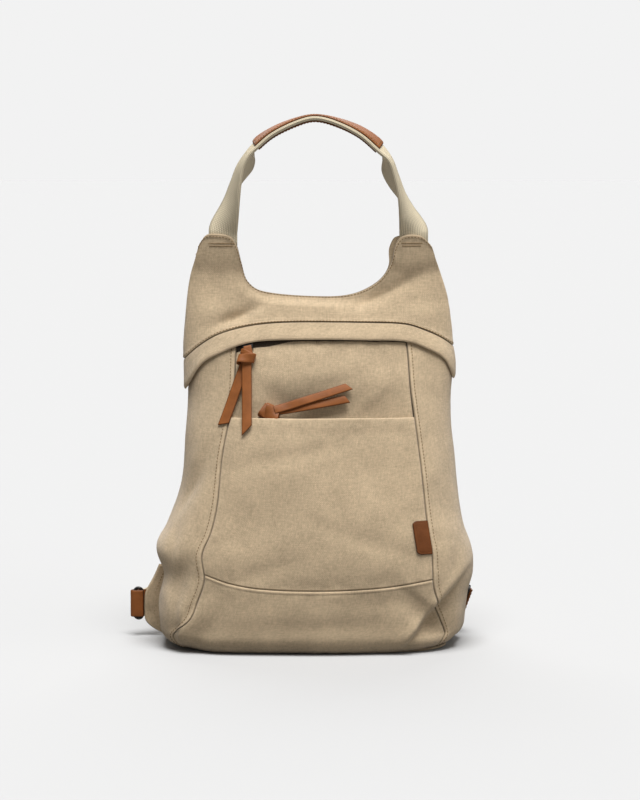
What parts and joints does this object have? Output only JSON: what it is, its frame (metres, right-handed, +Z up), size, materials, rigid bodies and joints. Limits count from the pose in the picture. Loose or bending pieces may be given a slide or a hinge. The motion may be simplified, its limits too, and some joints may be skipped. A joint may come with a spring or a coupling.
{
  "type": "anti-theft backpack",
  "caption": "Slim upright canvas backpack with an open-topped slip pocket, arched flap over the front zip, leather pullers and a folded webbing handle with a leather grip.",
  "frame": {"origin": "middle of the base panel, on the floor", "axes": "+X to the right as seen from the front, +Y from the front towards the back with the shoulder straps, +Z up to the handle"},
  "size_m": [0.3138, 0.1301, 0.4753],
  "materials": {
    "canvas": "matte heavy canvas weave",
    "webbing": "matte ribbed cotton webbing",
    "leather": "satin tan",
    "label_leather": "satin dark tan",
    "zip_tape": "matte twill tape and coil",
    "metal": "dark gunmetal"
  },
  "bodies": {
    "root": {"yoke_front": "canvas", "yoke_back": "canvas", "front_flap": "canvas", "side_left": "canvas", "side_right": "canvas", "back_panel": "canvas", "base_panel": "canvas", "front_lower": "canvas", "front_pocket": "canvas", "front_upper": "canvas", "front_zip_tape": "zip_tape", "front_zip_coil": "zip_tape", "back_zip_tape": "zip_tape", "back_zip_coil": "zip_tape", "pocket_zip_tape": "zip_tape", "front_zip_slider": "metal", "front_zip_puller": "leather", "pocket_zip_slider": "metal", "pocket_zip_puller": "leather", "back_zip_slider": "metal", "back_zip_puller": "leather", "label": "label_leather", "handle_webbing": "webbing", "handle_grip": "leather", "tab_left": "canvas", "tab_right": "canvas", "ring_left": "metal", "ring_right": "metal", "strap_end_left": "leather", "strap_end_right": "leather", "strap_left": "webbing", "strap_right": "webbing"}
  },
  "joints": []
}
